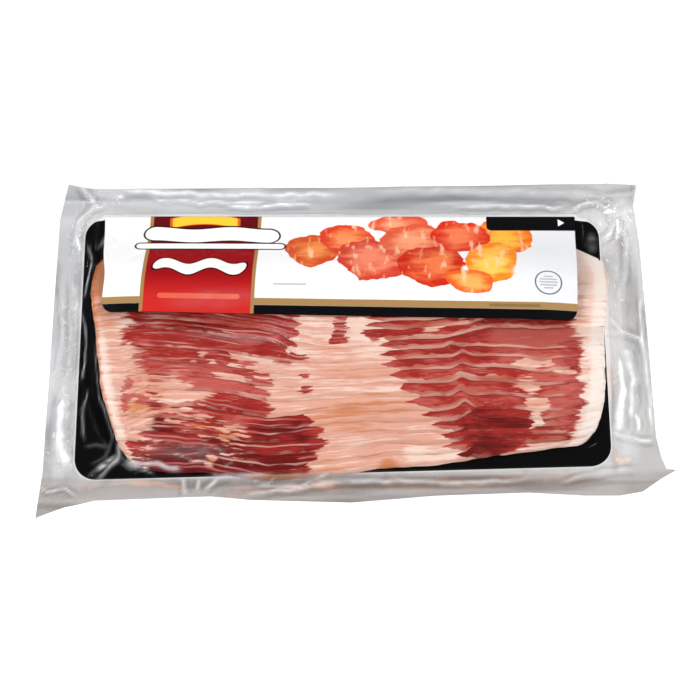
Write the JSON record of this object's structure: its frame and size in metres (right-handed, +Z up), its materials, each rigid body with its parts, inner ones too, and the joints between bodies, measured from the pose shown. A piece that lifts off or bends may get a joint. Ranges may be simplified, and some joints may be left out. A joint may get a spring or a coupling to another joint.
{
  "type": "vacuum-sealed sliced bacon pack",
  "caption": "Flat clear vacuum pouch with sliced bacon laid like shingles on a black card, whose printed flap folds over the rear half.",
  "frame": {"origin": "middle of the pouch's outline, on the underside of the lower film", "axes": "+X along the slices towards the right as the flap's print is read, +Y from the slices' front edges towards the card's fold, +Z up through the thickness"},
  "size_m": [0.32, 0.188, 0.0256],
  "materials": {
    "film": "clear glossy vacuum film, wrinkled round the contents, slightly milky where the two webs are sealed",
    "card": "coated black card, its folded flap printed with a white field, a crimson panel, gold lines and a black band",
    "bacon": "moist raw smoked bacon, crimson lean marbled with cream fat, under clinging film"
  },
  "bodies": {
    "root": {"front_film": "film", "back_film": "film", "card": "card", "slice_01": "bacon", "slice_02": "bacon", "slice_03": "bacon", "slice_04": "bacon", "slice_05": "bacon", "slice_06": "bacon", "slice_07": "bacon", "slice_08": "bacon", "slice_09": "bacon", "slice_10": "bacon", "slice_11": "bacon", "slice_12": "bacon", "slice_13": "bacon", "slice_14": "bacon", "slice_15": "bacon"}
  },
  "joints": []
}
